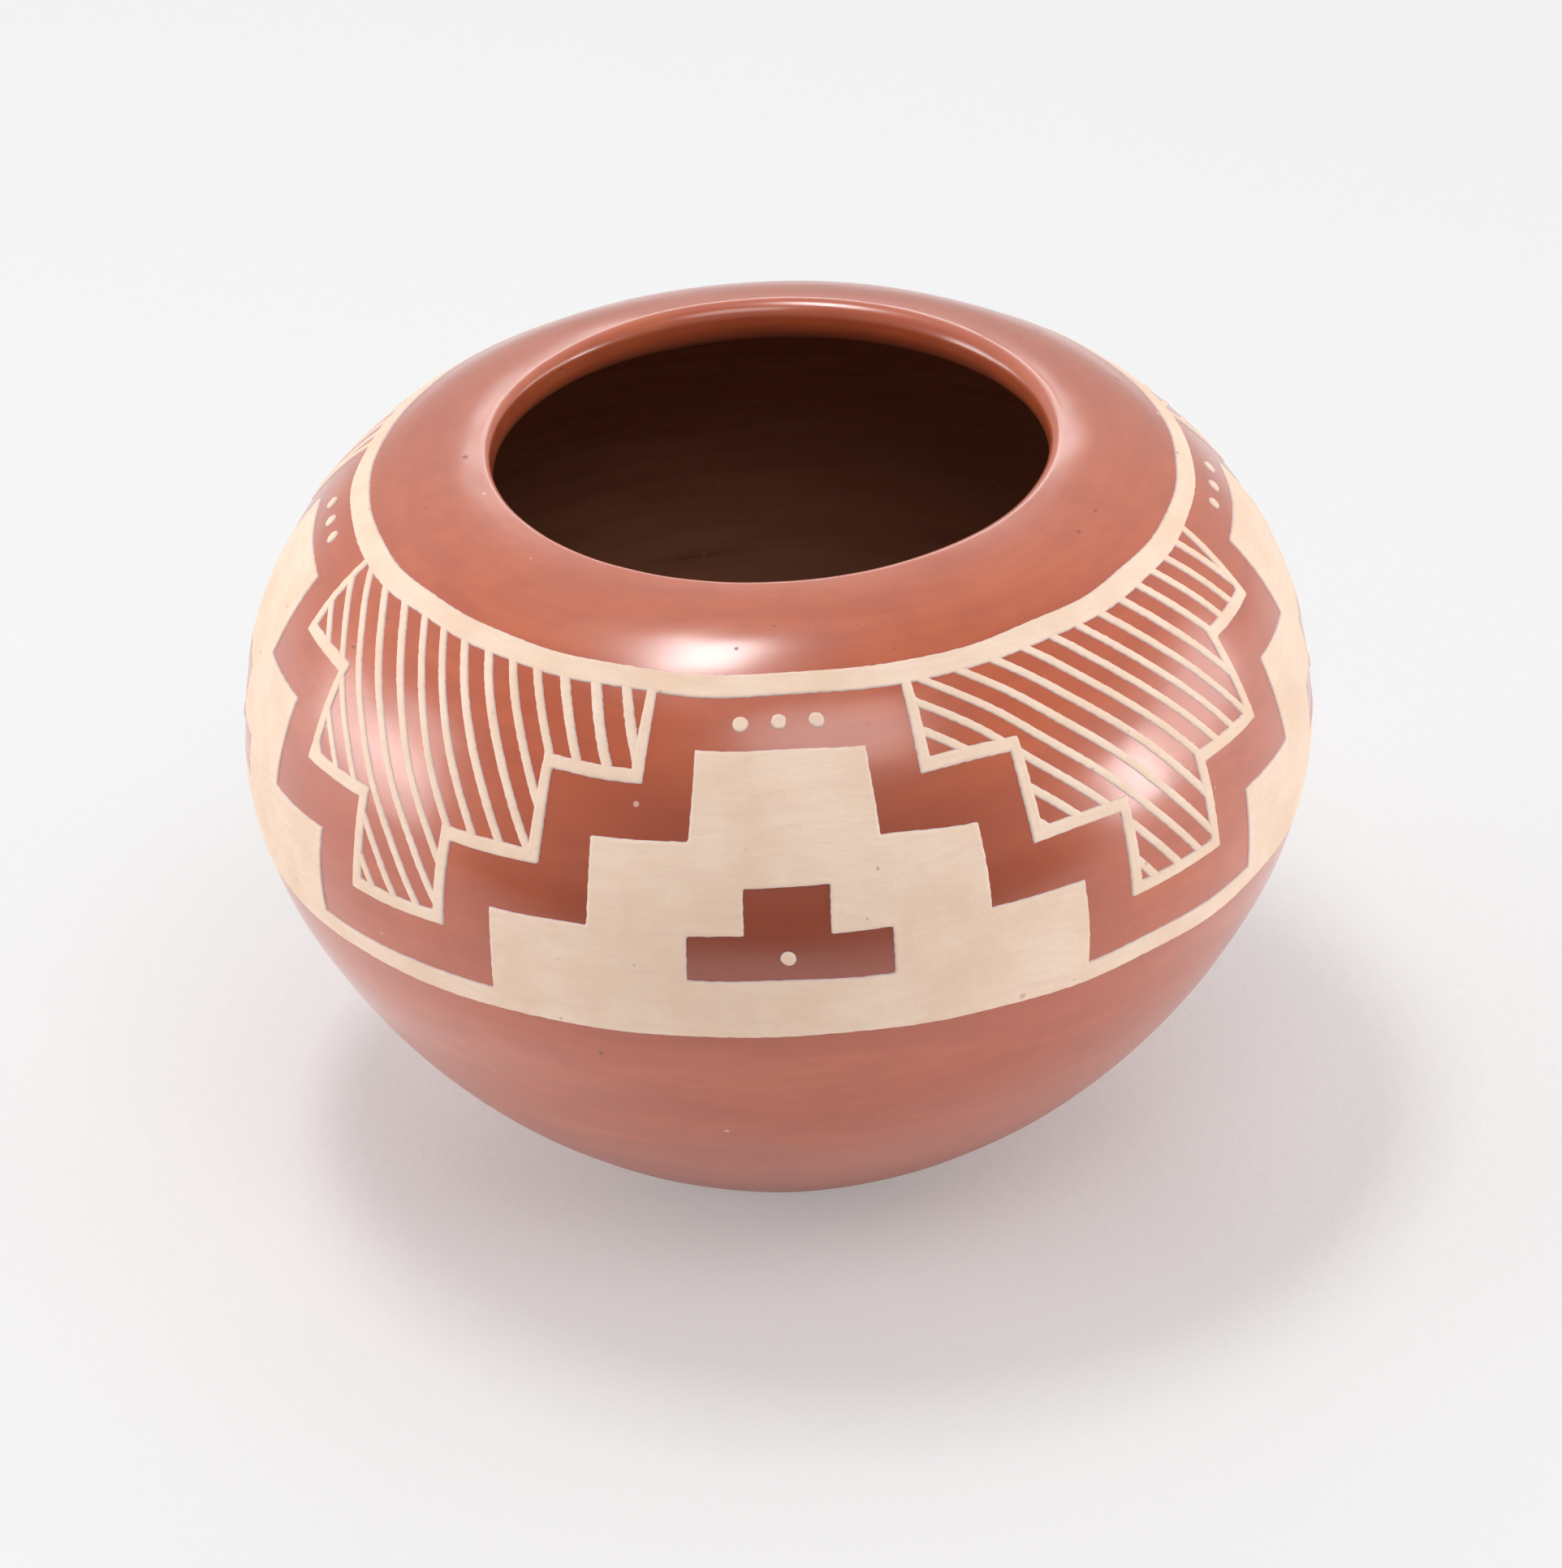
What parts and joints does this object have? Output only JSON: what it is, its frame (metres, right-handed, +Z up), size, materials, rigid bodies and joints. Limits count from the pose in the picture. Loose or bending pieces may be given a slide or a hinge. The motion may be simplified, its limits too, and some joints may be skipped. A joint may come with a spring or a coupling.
{
  "type": "pottery jar",
  "caption": "Low, wide, coil-built pottery jar with an incurved lip, a polished red slip coat and a painted band of stepped figures.",
  "frame": {"origin": "centre of the flat standing face under the jar", "axes": "+Z up along the jar's axis, through the middle of the mouth; -Y faces the viewer"},
  "size_m": [0.1404, 0.1404, 0.1012],
  "materials": {
    "fired_clay": "matte, scraped and wiped smooth",
    "red_slip": "stone-polished satin gloss",
    "cream_slip": "matte, brushed on in low relief"
  },
  "bodies": {
    "root": {"base": "fired_clay", "coil_1": "fired_clay", "coil_2": "fired_clay", "coil_3": "fired_clay", "coil_4": "fired_clay", "coil_5": "fired_clay", "coil_6": "fired_clay", "coil_7": "fired_clay", "rim_coil": "fired_clay", "red_slip": "red_slip", "lower_frame_line": "cream_slip", "upper_frame_line": "cream_slip", "standing_terraces": "cream_slip", "window_dots": "cream_slip", "cloud_dots": "cream_slip", "hanging_terraces": "cream_slip", "rain_hatching": "cream_slip"}
  },
  "joints": []
}
